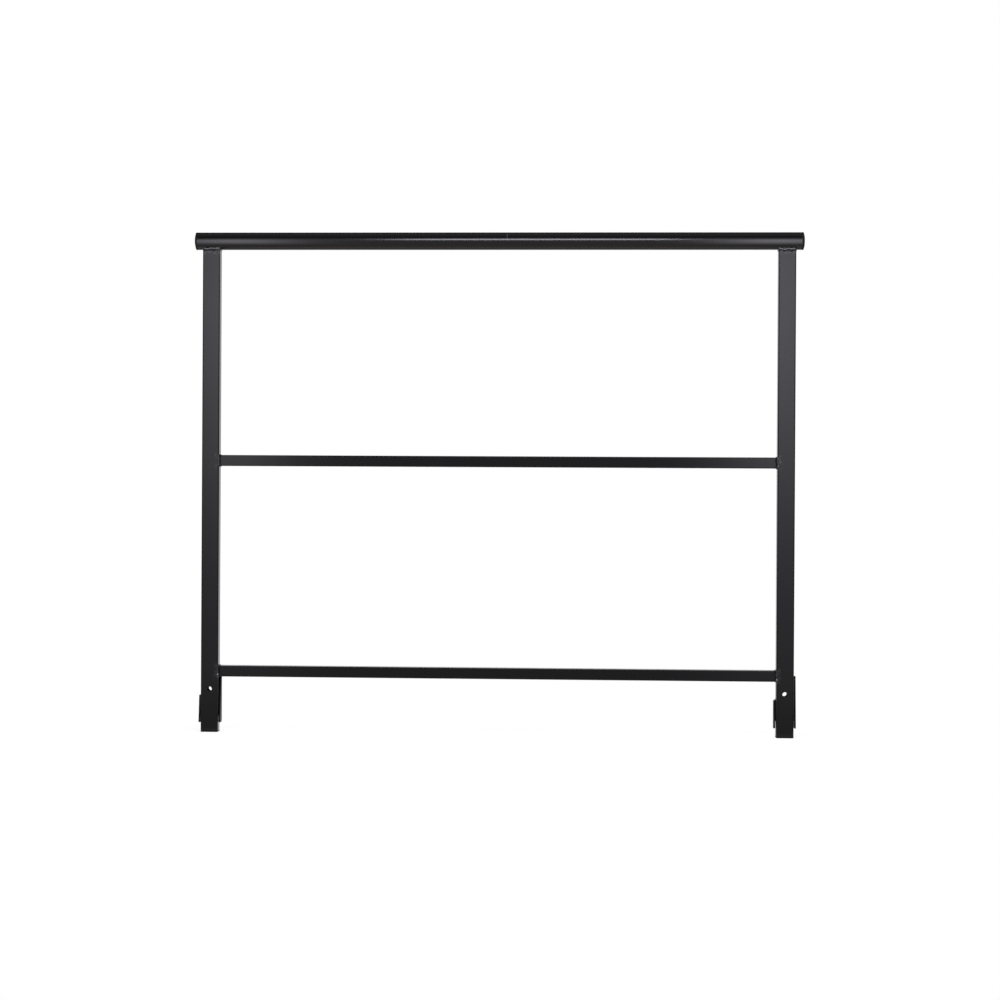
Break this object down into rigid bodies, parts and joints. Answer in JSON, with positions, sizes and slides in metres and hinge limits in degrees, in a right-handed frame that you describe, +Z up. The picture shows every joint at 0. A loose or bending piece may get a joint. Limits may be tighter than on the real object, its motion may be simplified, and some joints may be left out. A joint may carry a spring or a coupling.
{
  "type": "stage guardrail",
  "caption": "Black powder-coated tube guardrail with a round top rail, plain posts, cross bars and bolt-on foot brackets, for the edge of a stage deck.",
  "frame": {"origin": "on the back face of the left foot bracket's web, on the left post's centre line, 58 mm above the underside of the feet", "axes": "+X along the top rail to the right, +Z up, +Y out of the brackets' back faces towards the deck; the side in the picture faces -Y"},
  "size_m": [1.219, 0.035, 1.004],
  "materials": {
    "coated_tube": "satin black powder coat on steel tube, fine orange peel",
    "coated_plate": "satin black powder coat on bent steel plate",
    "end_cap": "moulded black polyethylene, lightly textured",
    "foot_plug": "moulded black polyethylene, scuffed underneath"
  },
  "bodies": {
    "root": {"top_rail": "coated_tube", "left_post": "coated_tube", "right_post": "coated_tube", "middle_bar": "coated_tube", "lower_bar": "coated_tube", "left_foot_bracket": "coated_plate", "right_foot_bracket": "coated_plate", "left_rail_cap": "end_cap", "right_rail_cap": "end_cap", "left_foot_plug": "foot_plug", "right_foot_plug": "foot_plug"}
  },
  "joints": []
}
